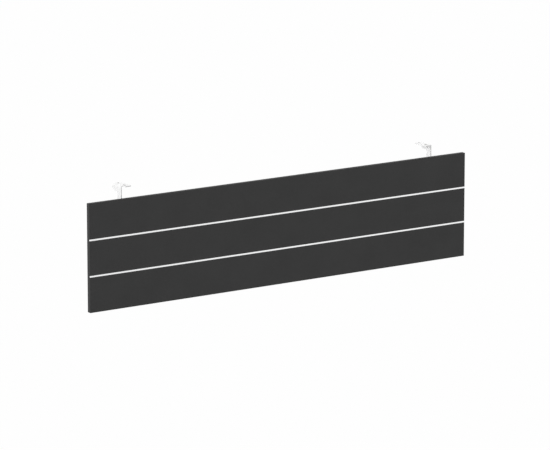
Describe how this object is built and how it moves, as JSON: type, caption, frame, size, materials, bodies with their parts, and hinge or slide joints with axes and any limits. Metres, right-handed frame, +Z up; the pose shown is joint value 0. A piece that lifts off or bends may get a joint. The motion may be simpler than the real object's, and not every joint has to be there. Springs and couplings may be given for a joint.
{
  "type": "desk modesty panel",
  "caption": "Dark faced board with bright inlaid stripes along its front, hung under a desktop by bent steel brackets to screen the legs of whoever sits at the desk.",
  "frame": {"origin": "midway between the two rear desk holes, on the plane of the brackets' top faces, which meet the desktop's underside", "axes": "+X along the panel, to the right as its striped front is seen; +Y from the striped front towards the back; +Z up"},
  "size_m": [1.45, 0.069, 0.39],
  "materials": {
    "faced_board": "matt melamine facing, fine pearl grain",
    "edge_band": "matt plastic edge band",
    "inlay_strip": "bright satin",
    "bracket_coat": "white powder coat",
    "zinc_steel": "zinc plated",
    "insert_brass": "turned"
  },
  "bodies": {
    "root": {"panel_board": "faced_board", "top_edge_band": "edge_band", "bottom_edge_band": "edge_band", "left_edge_band": "edge_band", "right_edge_band": "edge_band", "upper_inlay_strip": "inlay_strip", "lower_inlay_strip": "inlay_strip", "left_bracket": "bracket_coat", "right_bracket": "bracket_coat", "left_upper_screw": "zinc_steel", "left_middle_screw": "zinc_steel", "left_lower_screw": "zinc_steel", "right_upper_screw": "zinc_steel", "right_middle_screw": "zinc_steel", "right_lower_screw": "zinc_steel", "left_upper_insert_nut": "insert_brass", "left_middle_insert_nut": "insert_brass", "left_lower_insert_nut": "insert_brass", "right_upper_insert_nut": "insert_brass", "right_middle_insert_nut": "insert_brass", "right_lower_insert_nut": "insert_brass"}
  },
  "joints": []
}
